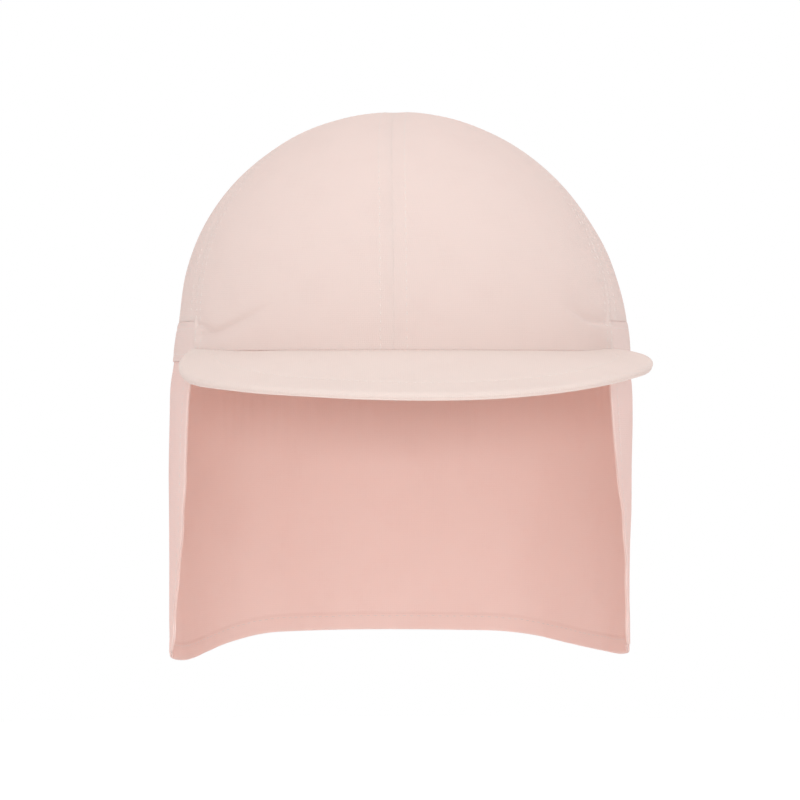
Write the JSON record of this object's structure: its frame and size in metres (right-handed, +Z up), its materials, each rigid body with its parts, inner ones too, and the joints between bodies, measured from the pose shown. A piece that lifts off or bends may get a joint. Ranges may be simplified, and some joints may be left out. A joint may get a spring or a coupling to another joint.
{
  "type": "legionnaire cap",
  "caption": "Child's legionnaire sun cap in pale pink cotton: a round panelled crown, a stiff peak, an elasticated casing at the back and a long neck flap.",
  "frame": {"origin": "centre of the head opening, level with the lower edge of the casing, where the cap sits on a head", "axes": "+Z up through the top of the crown, -Y forwards over the peak, +X towards the wearer's left"},
  "size_m": [0.1667, 0.2249, 0.1941],
  "materials": {
    "crown_cloth": "matt plain-woven cotton",
    "casing_cloth": "matt plain-woven cotton, slightly gathered",
    "peak_cloth": "matt plain-woven cotton over a stiff core",
    "flap_cloth": "matt plain-woven cotton"
  },
  "bodies": {
    "root": {"crown_front_left": "crown_cloth", "crown_front_right": "crown_cloth", "crown_back_left": "crown_cloth", "crown_back_right": "crown_cloth", "back_casing": "casing_cloth", "peak": "peak_cloth", "neck_flap": "flap_cloth"}
  },
  "joints": []
}
